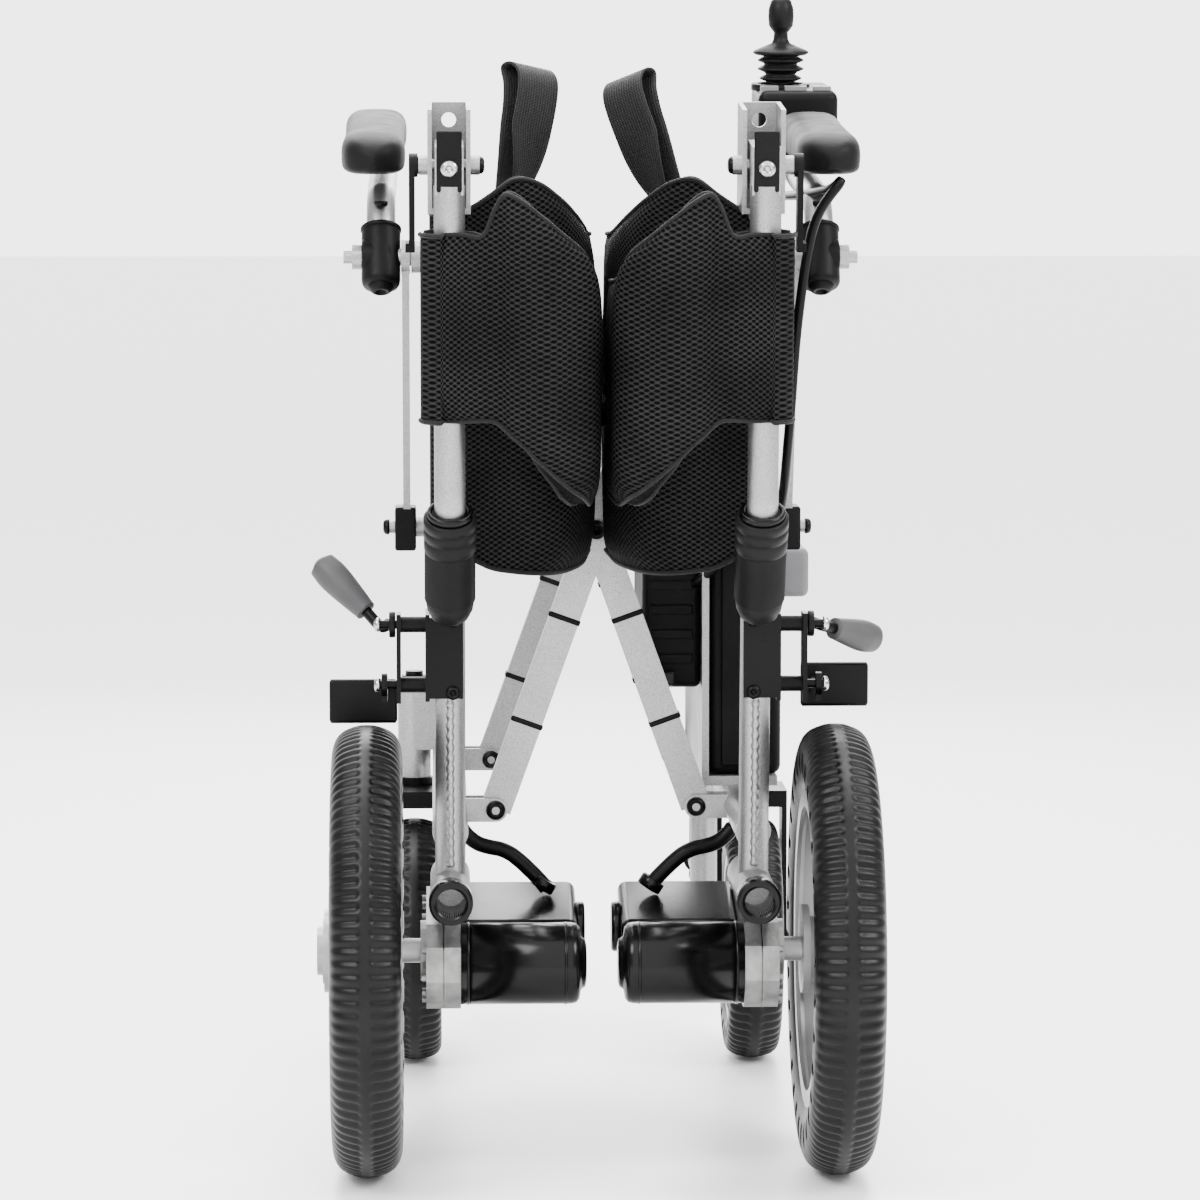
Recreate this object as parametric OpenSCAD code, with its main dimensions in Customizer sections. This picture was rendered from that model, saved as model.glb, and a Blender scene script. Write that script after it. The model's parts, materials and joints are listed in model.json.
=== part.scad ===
/* [Stance] */
// Distance from the centre plane to each side frame, chair folded
side_x = 105.5; // [100:0.5:115]
// Rear wheel outer diameter
rear_wheel_d = 315; // [300:1:330]
// Caster wheel outer diameter
caster_wheel_d = 190; // [180:1:200]
// Distance from the rear axle to the caster wheel axle
wheelbase = 448; // [430:1:470]
// Distance from the rear axle forward to the middle of the chair's length
centre_y = 311; // [300:0.5:320]

/* [Frame tubes] */
// Back cane tube diameter
cane_d = 21; // [19:0.5:22]
// Backward lean of the back canes, degrees
cane_lean = 6; // [3:0.5:8]
// Rail tube diameter
rail_d = 25; // [22:0.5:27]
// Anti-tip socket tube outer diameter
socket_d = 28; // [26:0.5:32]
// Anti-tip socket bore diameter
socket_bore_d = 20; // [18:0.5:22]
// Height of the lower side rail
low_rail_z = 241; // [235:1:250]
// Height of the upper side rail
high_rail_z = 450; // [440:1:460]
// Distance from the rear axle to the front upright
upright_y = 470; // [465:1:480]

/* [Cross brace] */
// Half distance between the lower brace pivots, chair folded
brace_pivot_x = 72.5; // [70:0.5:76]
// Height of the middle brace pivot, chair folded
brace_mid_z = 443; // [435:1:450]
// Length from the middle pivot to a seat rail
brace_upper_l = 224; // [215:1:230]
// Distance from the rear axle to the rear pair of brace bars
brace_rear_y = 130; // [125:1:140]
// Distance from the rear axle to the front pair of brace bars
brace_front_y = 430; // [420:1:435]
// Width of a brace bar
brace_w = 22; // [18:0.5:24]
// Thickness of a brace bar
brace_t = 13; // [10:0.5:13.5]

/* [Drive] */
// Motor can diameter
motor_d = 57; // [50:1:57]
// Motor can length
motor_l = 81; // [70:1:81]
// Output shaft diameter
shaft_d = 17; // [14:0.5:20]
// Rear tyre section width
tyre_w = 49; // [45:0.5:50]

/* [Upholstery] */
// Thickness of a folded back panel
panel_t = 8; // [5:0.5:8]
// Gap at the fold line of a back panel
fold_gap = 5.5; // [5:0.5:8]

/* [Arms] */
// Armrest pad width
pad_w = 44; // [40:1:46]
// Armrest pad length
pad_l = 280; // [250:1:285]
// Tilt of the raised armrest pad, degrees
pad_tilt = 5; // [0:0.5:8]
// Armrest tube diameter
arm_tube_d = 20; // [18:0.5:21]

/* [Hidden] */
$fn = 64;
cut = 0.5;            // how far a cutting shape passes a face
fit = 0.1;            // diameter clearance of a running fit
axle_z = rear_wheel_d / 2;
wheel_x = 58;         // wheel centre, outboard of the side frame plane
cane_foot = [-4, 202];   // y and z where a cane meets its socket tube
cane_l = 478;         // length of a lower cane
pivot_back = 32;      // hinge pivot, behind the cane axis
pivot_up = 508;       // hinge pivot, up along the cane
pin_d = 8;
brace_low_l = norm([brace_pivot_x, brace_mid_z - low_rail_z]);
brace_angle = atan2(brace_pivot_x, brace_mid_z - low_rail_z);
brace_gap = brace_t + 3;  // distance between the two bars of a crossing pair
seat_rail_d = 22;
rail_x = brace_upper_l * sin(brace_angle);
rail_z = brace_mid_z + brace_upper_l * cos(brace_angle);
band_y = -2;          // lower back band, measured behind the cane axis
upper_y = -2 * pivot_back;   // axis of the folded upper cane
upper_band_y = upper_y - 15;   // upper back band
arm_pivot = [20, 640];   // y and z of the armrest pivot
hanger_y = 640;       // footrest hanger, clear of the turning caster
foot_pin_z = 112;
caster_x = 27;        // caster stem, outboard of the side frame plane
caster_stem_y = 488;

// Everything is drawn from the rear axle, then moved to the middle of the chair's length
module placed() translate([0, -centre_y, 0]) children();
// Draws a right-hand part, outboard positive, and mirrors it for the left
module sided(s) placed() mirror([s < 0 ? 1 : 0, 0, 0]) translate([side_x, 0, 0]) children();
// The leaning frame of a back cane: z runs up the cane, y = 0 is its axis
module on_cane() translate([0, cane_foot[0], cane_foot[1]]) rotate([cane_lean, 0, 0]) children();
// A round bar between two points
module rod(a, b, d) {
  v = b - a;
  translate(a) rotate([0, acos(v[2] / norm(v)), atan2(v[1], v[0])]) cylinder(h = norm(v), d = d);
}
// A bar along X
module xrod(x0, x1, y, z, d) translate([x0, y, z]) rotate([0, 90, 0]) cylinder(h = x1 - x0, d = d);
// A bar along Y
module yrod(x, y0, y1, z, d) translate([x, y0, z]) rotate([-90, 0, 0]) cylinder(h = y1 - y0, d = d);
// A bend in the YZ plane that turns down from heading a0 to heading a1
module elbow(c, r, a0, a1, d) translate([0, c[0], c[1]]) rotate([90, 0, 90])
  rotate([0, 0, a1 + 90]) rotate_extrude(angle = a0 - a1) translate([r, 0]) circle(d = d);
// A plate in the XZ plane with rounded ends, from y0, t thick
module tab(x0, x1, z, h, y0, t) {
  translate([x0, y0, z - h / 2]) cube([x1 - x0, t, h]);
  yrod(x0, y0, y0 + t, z, h);
}

// ---- side frames ----
module side_frame(s) {
  sided(s) difference() {
    union() {
      yrod(0, -78, 62, cane_foot[1], socket_d);
      on_cane() cylinder(h = cane_l, d = cane_d);
      on_cane() hinge_channel();
      yrod(0, -4, upright_y, low_rail_z, rail_d);
      yrod(0, -30, upright_y - 40, high_rail_z, rail_d);
      rod([0, upright_y, low_rail_z - 14], [0, upright_y, high_rail_z - 40], rail_d);
      elbow([upright_y - 40, high_rail_z - 40], 40, 0, -90, rail_d);
      gusset();
      caster_housing();
      hanger();
      arm_spindle();
      for (y = [brace_rear_y, brace_front_y]) brace_yoke(s, y);
      if (s > 0) battery_tray();
    }
    yrod(0, -78 - cut, -78 + 55, cane_foot[1], socket_bore_d);
    translate([caster_x, caster_stem_y, 190]) cylinder(h = 110, d = 14 + fit);
  }
}
// Folded sheet channel that carries the backrest hinge pin
module hinge_channel() {
  difference() {
    translate([-14.5, -41, cane_l - 2]) cube([29, 57, 70]);
    translate([-11.5, -41 - cut, cane_l + 2]) cube([23, 54 + cut, 70 + cut]);
    translate([0, 20, cane_l + 56]) rotate([90, 0, 0]) cylinder(h = 30, d = 10);
  }
  xrod(-18, 18, -pivot_back, pivot_up, pin_d);
  for (x = [-20.5, 14.5]) xrod(x, x + 6, -pivot_back, pivot_up, 13);
}
// Welded plate between the cane and the lower rail
module gusset() translate([-3, -8, cane_foot[1]]) cube([6, 50, 98]);
module caster_housing() {
  translate([caster_x, caster_stem_y, 219]) cylinder(h = 74, d = 26);
  translate([0, caster_stem_y - 28, 243]) cube([caster_x, 20, 46]);
}
// Footrest hanger and the long pin that its plate turns on
module hanger() {
  yrod(0, upright_y, hanger_y - 20, low_rail_z, 22);
  elbow([hanger_y - 20, low_rail_z - 20], 20, 0, -90, 22);
  translate([0, hanger_y, foot_pin_z - 8]) cylinder(h = low_rail_z - 20 - foot_pin_z + 8, d = 22);
  yrod(0, hanger_y, hanger_y + 144, foot_pin_z, 14);
}
// Stub and pin that the armrest turns on
module arm_spindle() {
  xrod(6, 26, arm_pivot[0], arm_pivot[1], 22);
  xrod(25, 66, arm_pivot[0], arm_pivot[1], 12);
  xrod(60.5, 67, arm_pivot[0], arm_pivot[1], 17);
  xrod(66, 73, arm_pivot[0], arm_pivot[1], 9);
  translate([-8, arm_pivot[0] - 76, arm_pivot[1] - 11]) cube([16, 76, 22]);
}
// Two cheeks and the pin that hold the foot of a brace bar
module brace_yoke(s, y) {
  bar_y = y + s * brace_gap / 2;
  x0 = brace_pivot_x - side_x;
  for (t = [-1, 1]) tab(x0, 0, low_rail_z, 17, bar_y + t * (brace_t / 2 + 2) - 1.5, 3);
  yrod(x0, bar_y - brace_t / 2 - 7, bar_y + brace_t / 2 + 7, low_rail_z, pin_d);
}
module battery_tray() {
  translate([-27, 160, low_rail_z + 11]) cube([55, 248, 7]);
  translate([-27, 160, low_rail_z + 11]) cube([5, 248, 169]);
  translate([13, 120, 431]) cube([12, 280, 27]);
  translate([0, 160, 437]) cube([16, 40, 10]);
}
module left_frame() color("silver") side_frame(-1);
module right_frame() color("silver") side_frame(1);

// ---- drive ----
gear_pts = [[-24, 126], [-10, 118], [24, 118], [132, 128], [138, 140], [138, 176], [126, 184],
  [24, 184], [-14, 178], [-30, 164], [-32, 140]];
module gearbox(s) sided(s) difference() {
  union() {
    for (x = [-7, 5.5]) translate([x, 0, 0]) rotate([90, 0, 90]) linear_extrude(11.5) polygon(gear_pts);
    translate([4, 3, 3]) rotate([90, 0, 90]) linear_extrude(2) polygon([for (p = gear_pts) p * 0.97]);
    xrod(16, 21, 0, axle_z, 42);
    for (p = gear_pts) xrod(15, 20, p[0] * 0.86, (p[1] - 152) * 0.8 + 152, 5);
    translate([-5, 30, 180]) cube([10, 26, 10]);
  }
  xrod(-3, 22, 0, axle_z, shaft_d + fit);
}
module motor(s) sided(s) {
  x1 = -7;
  xrod(x1 - motor_l, x1, -6, 149, motor_d);
  xrod(x1 - motor_l - 4, x1 - motor_l + 1, -6, 149, 36);
  xrod(x1 - motor_l - 7.5, x1 - motor_l - 3, -6, 149, 28);
  translate([-80, 18, 138]) cube([68, 26, 20]);
  // parking brake housing ahead of the motor
  translate([-90, 0, 0]) rotate([90, 0, 90]) linear_extrude(83)
    polygon([[40, 132], [132, 132], [132, 190], [124, 193], [46, 173], [40, 166]]);
  xrod(-94, -89, 88, 162, 36);
  xrod(-97, -93, 88, 162, 28);
}
module left_gearbox() color("lightgrey") gearbox(-1);
module right_gearbox() color("lightgrey") gearbox(1);
module left_motor() color("black") motor(-1);
module right_motor() color("black") motor(1);

// Motor lead: leaves the lower rail, bows over and enters the brake housing
cable_d = 11;
lead_pts = [[-8, 100, 230], [-13, 99, 224], [-20, 98, 219], [-28, 97, 216.5], [-36, 96, 215], [-43, 95, 212],
  [-49, 95, 207.5], [-55, 95, 202], [-61, 95, 196], [-66, 95, 190.5], [-69, 95, 186.5]];
module sweep(pts, d, sides) {
  n = len(pts);
  tangents = [for (i = [0 : n - 1]) pts[min(i + 1, n - 1)] - pts[max(i - 1, 0)]];
  rings = [for (i = [0 : n - 1]) let (
      t = tangents[i] / norm(tangents[i]),
      u = cross(t, [0, 1, 0]) / norm(cross(t, [0, 1, 0])),
      v = cross(t, u))
    for (k = [0 : sides - 1]) pts[i] + d / 2 * (u * cos(360 * k / sides) + v * sin(360 * k / sides))];
  polyhedron(rings, concat(
    [[for (k = [0 : sides - 1]) k]],
    [for (i = [0 : n - 2], k = [0 : sides - 1]) let (a = i * sides + k, b = i * sides + (k + 1) % sides)
      [a, a + sides, b + sides, b]],
    [[for (k = [0 : sides - 1]) n * sides - 1 - k]]));
}
module motor_cable(s) sided(s) sweep(lead_pts, cable_d, 12);
module left_motor_cable() color("black") motor_cable(-1);
module right_motor_cable() color("black") motor_cable(1);

// ---- rear wheels ----
module rear_tyre(s) sided(s) translate([wheel_x, 0, axle_z]) rotate([0, 90, 0]) rotate_extrude()
  polygon([[axle_z - 46, -20], [axle_z - 24, -tyre_w / 2], [axle_z - 14, -tyre_w / 2], [axle_z - 5, -19],
    [axle_z - 1.2, -10], [axle_z, 0], [axle_z - 1.2, 10], [axle_z - 5, 19],
    [axle_z - 14, tyre_w / 2], [axle_z - 24, tyre_w / 2], [axle_z - 46, 20]]);
module rear_rim(s) sided(s) {
  r = axle_z - 46.3;
  translate([wheel_x, 0, axle_z]) rotate([0, 90, 0]) {
    rotate_extrude() polygon([[r - 12, -21], [r, -21], [r, 21], [r - 12, 21], [r - 12, 18], [r - 5, 15],
      [r - 5, -15], [r - 12, -18]]);
    translate([0, 0, -21]) cylinder(h = 52, d = 46);
    translate([0, 0, -24]) cylinder(h = 5, d = 62);
    translate([0, 0, 26]) cylinder(h = 4, d = 58);
    translate([0, 0, 29]) cylinder(h = 6, d = 34);
    for (i = [0 : 4]) rotate([0, 0, 72 * i]) translate([18, -11, -6]) cube([r - 22, 22, 10]);
  }
  xrod(-1, wheel_x, 0, axle_z, shaft_d);
}
module left_rear_tyre() color("black") rear_tyre(-1);
module right_rear_tyre() color("black") rear_tyre(1);
module left_rear_rim() color("silver") rear_rim(-1);
module right_rear_rim() color("silver") rear_rim(1);

// ---- casters ----
caster_r = caster_wheel_d / 2;
module fork(s) sided(s) {
  translate([caster_x, caster_stem_y, 201]) cylinder(h = 102, d = 14);
  translate([caster_x, caster_stem_y, 293.5]) cylinder(h = 6, d = 20);
  translate([caster_x, caster_stem_y, 212]) cylinder(h = 6.5, d = 30);
  translate([caster_x - 27.5, wheelbase - 16, 200]) cube([55, 60, 13]);
  for (t = [-1, 1]) {
    translate([caster_x + t * 25.5 - 2, wheelbase - 16, caster_r - 14]) cube([4, 32, 124]);
    xrod(caster_x + t * 29 - 2.5, caster_x + t * 29 + 2.5, wheelbase, caster_r, 16);
  }
  xrod(caster_x - 27, caster_x + 27, wheelbase, caster_r, 10);
}
module caster_tyre(s) sided(s) translate([caster_x, wheelbase, caster_r]) rotate([0, 90, 0]) rotate_extrude()
  polygon([[caster_r - 30, -18], [caster_r - 16, -21], [caster_r - 8, -20], [caster_r - 2.5, -14],
    [caster_r, 0], [caster_r - 2.5, 14], [caster_r - 8, 20], [caster_r - 16, 21], [caster_r - 30, 18]]);
module caster_rim(s) sided(s) translate([caster_x, wheelbase, caster_r]) rotate([0, 90, 0]) difference() {
  r = caster_r - 30.3;
  union() {
    rotate_extrude() polygon([[r - 8, -18], [r, -18], [r, 18], [r - 8, 18]]);
    translate([0, 0, -20]) cylinder(h = 40, d = 32);
    for (i = [0 : 4]) rotate([0, 0, 72 * i]) translate([12, -8, -5]) cube([r - 16, 16, 10]);
  }
  translate([0, 0, -30]) cylinder(h = 60, d = 10 + fit);
}
module left_fork() color("dimgrey") fork(-1);
module right_fork() color("dimgrey") fork(1);
module left_caster_tyre() color("black") caster_tyre(-1);
module right_caster_tyre() color("black") caster_tyre(1);
module left_caster_rim() color("silver") caster_rim(-1);
module right_caster_rim() color("silver") caster_rim(1);

// ---- cross brace and seat rails ----
// A brace leans to the side s: its foot is on the other side, its seat rail on side s
module brace(s) placed() difference() {
  union() {
    for (y = [brace_rear_y, brace_front_y]) translate([0, y - s * brace_gap / 2, brace_mid_z])
      rotate([0, s * brace_angle, 0]) brace_bar();
    yrod(s * rail_x, -5, 466, rail_z, seat_rail_d);
  }
  for (y = [brace_rear_y, brace_front_y]) {
    yrod(0, y - 30, y + 30, brace_mid_z, pin_d + fit);
    yrod(-s * brace_pivot_x, y - 30, y + 30, low_rail_z, pin_d + fit);
  }
}
// One bar, with the middle pivot at its origin
module brace_bar() {
  translate([-brace_w / 2, -brace_t / 2, -brace_low_l]) cube([brace_w, brace_t, brace_low_l + brace_upper_l - 5]);
  yrod(0, -brace_t / 2, brace_t / 2, -brace_low_l, brace_w - 6);
}
module brace_a() color("silver") brace(1);
module brace_b() color("silver") {
  brace(-1);
  placed() for (y = [brace_rear_y, brace_front_y]) {
    yrod(0, y - brace_t - 3.5, y + brace_t + 3.5, brace_mid_z, pin_d);
  }
}
// Webbing loop for lifting the seat; the right one leans to the middle
module pull_strap(s) placed() mirror([s < 0 ? 1 : 0, 0, 0])
  translate([rail_x, 175, rail_z]) rotate([0, s < 0 ? -12 : -22, 0]) difference() {
    translate([-16, 0, 13]) cube([20, 34, 110]);
    translate([-12, -1, 18]) cube([12, 36, 100]);
  }
module left_pull_strap() color("black") pull_strap(-1);
module right_pull_strap() color("black") pull_strap(1);

// ---- upholstery ----
seat_half = 182;
// Half of the seat sling, hanging from its rail between the two pairs of brace bars
module seat_panel(s) placed() mirror([s < 0 ? 1 : 0, 0, 0])
  translate([rail_x - 7, brace_rear_y + 20, rail_z - seat_half])
    cube([14, brace_front_y - brace_rear_y - 40, seat_half - 13]);
// Sleeve on the lower cane and the band that leads in from it
module lower_sleeve(s) sided(s) on_cane() difference() {
  union() {
    translate([0, 0, 240]) cylinder(h = 232, d = 27);
    translate([-62, band_y - panel_t / 2, 240]) cube([62, panel_t, 232]);
  }
  translate([0, 0, 200]) cylinder(h = 300, d = cane_d + 0.6);
  translate([-20, -14, 246.4]) cube([40, 28, 27.5]);
}
module lower_back(s) sided(s) on_cane() translate([-64, band_y, 0]) rotate([0, 0, 12.9])
  translate([-panel_t / 2, fold_gap, 240]) cube([panel_t, 137 - fold_gap, 232]);
module upper_sleeve(s) sided(s) on_cane() difference() {
  union() {
    translate([0, upper_y, 341]) cylinder(h = 127, d = 38);
    translate([-78, upper_band_y - panel_t / 2, 341]) cube([78, panel_t, 127]);
  }
  translate([0, upper_y, 300]) cylinder(h = 200, d = cane_d + 0.6);
}
module upper_back(s) sided(s) on_cane() translate([-80, upper_band_y, 0]) rotate([0, 0, 8])
  translate([-panel_t / 2, fold_gap, 341]) cube([panel_t, 121 - fold_gap, 127]);
module left_seat_panel() color("dimgrey") seat_panel(-1);
module right_seat_panel() color("dimgrey") seat_panel(1);
module left_lower_sleeve() color("black") lower_sleeve(-1);
module right_lower_sleeve() color("black") lower_sleeve(1);
module left_lower_back() color("black") lower_back(-1);
module right_lower_back() color("black") lower_back(1);
module left_upper_sleeve() color("black") upper_sleeve(-1);
module right_upper_sleeve() color("black") upper_sleeve(1);
module left_upper_back() color("black") upper_back(-1);
module right_upper_back() color("black") upper_back(1);

// ---- folding upper canes ----
handle_turn = 22;
handle_r = 34;
module upper_cane(s) sided(s) on_cane() difference() {
  union() {
    translate([-9.5, upper_y - 7, 492]) cube([19, 50, 32]);
    translate([0, upper_y, 288]) cylinder(h = 210, d = cane_d);
    translate([0, upper_y + handle_r, 288]) rotate([90, 0, 90]) rotate([0, 0, 180]) {
      rotate_extrude(angle = handle_turn) translate([handle_r, 0]) circle(d = cane_d);
      rotate([0, 0, handle_turn]) translate([handle_r, 0, 0]) rotate([-90, 0, 0]) cylinder(h = 80, d = cane_d);
    }
  }
  xrod(-20, 20, -pivot_back, pivot_up, pin_d + fit);
}
// Frame at the end of the handle bend, z along the handle
module handle_end() translate([0, upper_y + handle_r - handle_r * cos(handle_turn),
  288 - handle_r * sin(handle_turn)]) rotate([180 + handle_turn, 0, 0]) children();
module grip(s) sided(s) on_cane() handle_end() difference() {
  union() {
    translate([0, 0, 2]) cylinder(h = 84, d = 33);
    translate([0, 0, 2]) cylinder(h = 6, d = 36);
  }
  translate([0, 0, -10]) cylinder(h = 90.3, d = cane_d + 0.2);
}
module left_upper_cane() color("silver") upper_cane(-1);
module right_upper_cane() color("silver") upper_cane(1);
module left_grip() color("black") grip(-1);
module right_grip() color("black") grip(1);
// Lever that locks the backrest hinge
module hinge_lock(s) sided(s) on_cane() difference() {
  union() {
    xrod(21, 27, -pivot_back, pivot_up, 16);
    translate([23, -pivot_back - 8, pivot_up - 58]) cube([4, 16, 58]);
    translate([23, -pivot_back - 8, pivot_up - 58]) cube([6.5, 16, 6]);
  }
  xrod(15, 40, -pivot_back, pivot_up, pin_d + fit);
}
module left_hinge_lock() color("black") hinge_lock(-1);
module right_hinge_lock() color("black") hinge_lock(1);

// ---- armrests ----
post_x = 47;
post_lean = 27;
module arm_block() difference() {
  union() {
    xrod(40.5, 60, arm_pivot[0], arm_pivot[1], 25);
    translate([post_x, arm_pivot[0], arm_pivot[1]]) rotate([-post_lean, 0, 0])
      translate([0, 0, -22]) cylinder(h = 44, d = 27);
  }
  xrod(20, 80, arm_pivot[0], arm_pivot[1], 12 + fit);
}
post_r = 40;
// Armrest tube and, as a separate solid, the block that clamps it
module arm_post(s) sided(s) {
  arm_block();
  h0 = 90 - post_lean;
  start = [arm_pivot[0] + 22.2 * cos(h0), arm_pivot[1] + 22.2 * sin(h0)];
  c = [start[0] + post_r * sin(h0), start[1] - post_r * cos(h0)];
  translate([post_x, c[0], c[1]]) rotate([90, 0, 90]) rotate([0, 0, pad_tilt + 90]) {
    rotate_extrude(angle = h0 - pad_tilt) translate([post_r, 0]) circle(d = arm_tube_d);
    translate([post_r, 0, 0]) rotate([90, 0, 0]) cylinder(h = 235, d = arm_tube_d);
  }
}
module on_arm() translate([post_x, arm_pivot[0], arm_pivot[1]]) rotate([pad_tilt, 0, 0]) children();
pad_low = 57.2;       // underside of the pad above the pivot
module arm_pad(s) sided(s) on_arm() {
  translate([-pad_w / 2 + 5, -38, pad_low]) cube([pad_w, s > 0 ? pad_l - 30 : pad_l, 26]);
}
module left_arm_post() color("silver") arm_post(-1);
module right_arm_post() color("silver") arm_post(1);
module left_arm_pad() color("black") arm_pad(-1);
module right_arm_pad() color("black") arm_pad(1);
// Flat stay from the armrest spindle down to a clamp on the upper rail
module arm_strut(s) sided(s) difference() {
  union() {
    xrod(27, 33, arm_pivot[0], arm_pivot[1], 24);
    translate([27.5, arm_pivot[0], arm_pivot[1]]) rotate([atan2(72, 190), 0, 0])
      translate([0, -10, -196]) cube([5, 20, 196]);
    translate([24, 78, high_rail_z - 18]) cube([14, 30, 29]);
    xrod(12.6, 30, 93, high_rail_z - 3, 14);
    xrod(30, 44, 93, high_rail_z - 3, 9);
  }
  xrod(20, 50, arm_pivot[0], arm_pivot[1], 12 + fit);
}
module left_arm_strut() color("silver") arm_strut(-1);
module right_arm_strut() color("silver") arm_strut(1);

// ---- joystick on the right armrest ----
stick_y = 285;
stick_z = 112;
box_top = pad_low + 40;
stick_pivot = pad_low + 46;
key_y = 246;
key_x = [-26, -8, 13];
key_w = [13, 16, 13];
module joystick_box() color("black") sided(1) on_arm() difference() {
  union() {
    translate([-28.3, 240, pad_low + 6]) cube([59.3, 92, 34]);
    translate([-10, 210, pad_low - 14]) cube([20, 34, 14]);
    translate([-10, 238, pad_low - 14]) cube([20, 40, 22]);
  }
  for (i = [0 : 2]) translate([key_x[i] - 0.4, key_y - 0.4, box_top - 6]) cube([key_w[i] + 0.8, 10.8, 7]);
}
module joystick_gimbal() color("black") sided(1) on_arm()
  translate([-9, stick_y, stick_pivot - 1]) cylinder(h = 2, d = 10);
module joystick_stick() color("black") sided(1) on_arm() translate([-9, stick_y, stick_pivot + 3]) {
  cylinder(h = 15, d1 = 26, d2 = 20);
  translate([0, 0, 14]) cylinder(h = 20, d = 10);
  translate([0, 0, 31]) cylinder(h = 16, d = 18);
  translate([0, 0, 47]) sphere(d = 18);
}
module key(i) sided(1) on_arm() translate([key_x[i], key_y, box_top - 2]) cube([key_w[i], 10, 4.5]);
module power_button() color("grey") key(0);
module speed_rocker() color("grey") key(1);
module horn_button() color("grey") key(2);

// ---- parking brakes ----
brake_z = [344, 386];
module brake_mount(s) sided(s) {
  translate([-9, -36, 338]) cube([26, 3, 56]);
  translate([14, -36, 336]) cube([3, 48, 60]);
  for (z = brake_z) xrod(16, 36, 0, z, 11);
  translate([34, -12, 332]) cube([3, 24, 62]);
  for (z = brake_z) xrod(36, 50, 0, z, 6);
}
// Hand lever; the left one points out and up, the right one out and forward
module brake_lever(s) sided(s) {
  tip = s < 0 ? [86, 30, 422] : [84, 42, 372];
  base = [48, 8, 384];
  difference() {
    union() {
      xrod(38, 42, 0, brake_z[1], 18);
      translate([38, -2, 376]) cube([4, 22, 18]);
      rod([40, 10, 385], base, 8);
    }
    xrod(30, 60, 0, brake_z[1], 6 + fit);
  }
  rod(base, base + (tip - base) * 0.32, 9);
  rod(base + (tip - base) * 0.28, tip, 19);
  translate(tip) sphere(d = 22);
}
module brake_shoe(s) sided(s) {
  shoe_z = s < 0 ? 311 : 322;
  difference() {
    union() {
      xrod(43.5, 47.5, 0, brake_z[0], 16);
      translate([43.5, -2, brake_z[0] - 12]) cube([4, 60, 12]);
    }
    xrod(30, 60, 0, brake_z[0], 6 + fit);
  }
  translate([38, 54, shoe_z]) cube([46, 4, 31]);
}
module left_brake_mount() color("black") brake_mount(-1);
module right_brake_mount() color("black") brake_mount(1);
module left_brake_lever() color("grey") brake_lever(-1);
module right_brake_lever() color("grey") brake_lever(1);
module left_brake_shoe() color("black") brake_shoe(-1);
module right_brake_shoe() color("black") brake_shoe(1);

// ---- footplates, battery and control box ----
module footplate(s) sided(s) difference() {
  union() {
    translate([-4, hanger_y + 12, foot_pin_z + 7]) cube([8, 128, 92]);
    for (y = [12, 116]) yrod(0, hanger_y + y, hanger_y + y + 24, foot_pin_z, 20);
  }
  yrod(0, hanger_y - 10, hanger_y + 150, foot_pin_z, 14 + fit);
}
module left_footplate() color("black") footplate(-1);
module right_footplate() color("black") footplate(1);
module battery_pack() color("black") sided(1) {
  translate([-21, 166, low_rail_z + 18.5]) cube([52, 236, 164]);
  translate([31, 190, 385]) cube([22, 60, 40]);
}
module control_box() color("black") sided(1) {
  translate([-70, 178, 322]) cube([43, 150, 90]);
}

left_frame();
right_frame();
left_gearbox();
right_gearbox();
left_motor();
right_motor();
left_motor_cable();
right_motor_cable();
left_arm_strut();
right_arm_strut();
left_brake_mount();
right_brake_mount();
left_lower_sleeve();
right_lower_sleeve();
control_box();
battery_pack();
left_rear_tyre();
right_rear_tyre();
left_rear_rim();
right_rear_rim();
left_fork();
right_fork();
left_caster_tyre();
right_caster_tyre();
left_caster_rim();
right_caster_rim();
brace_a();
brace_b();
left_pull_strap();
right_pull_strap();
left_seat_panel();
right_seat_panel();
left_lower_back();
right_lower_back();
left_upper_cane();
right_upper_cane();
left_grip();
right_grip();
left_upper_sleeve();
right_upper_sleeve();
left_upper_back();
right_upper_back();
left_arm_post();
right_arm_post();
left_arm_pad();
right_arm_pad();
joystick_box();
joystick_gimbal();
joystick_stick();
power_button();
speed_rocker();
horn_button();
left_brake_lever();
right_brake_lever();
left_brake_shoe();
right_brake_shoe();
left_footplate();
right_footplate();
left_hinge_lock();
right_hinge_lock();
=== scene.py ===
import json
import math
from functools import partial
import bmesh
import bpy
from mathutils import Matrix, Vector


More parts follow.
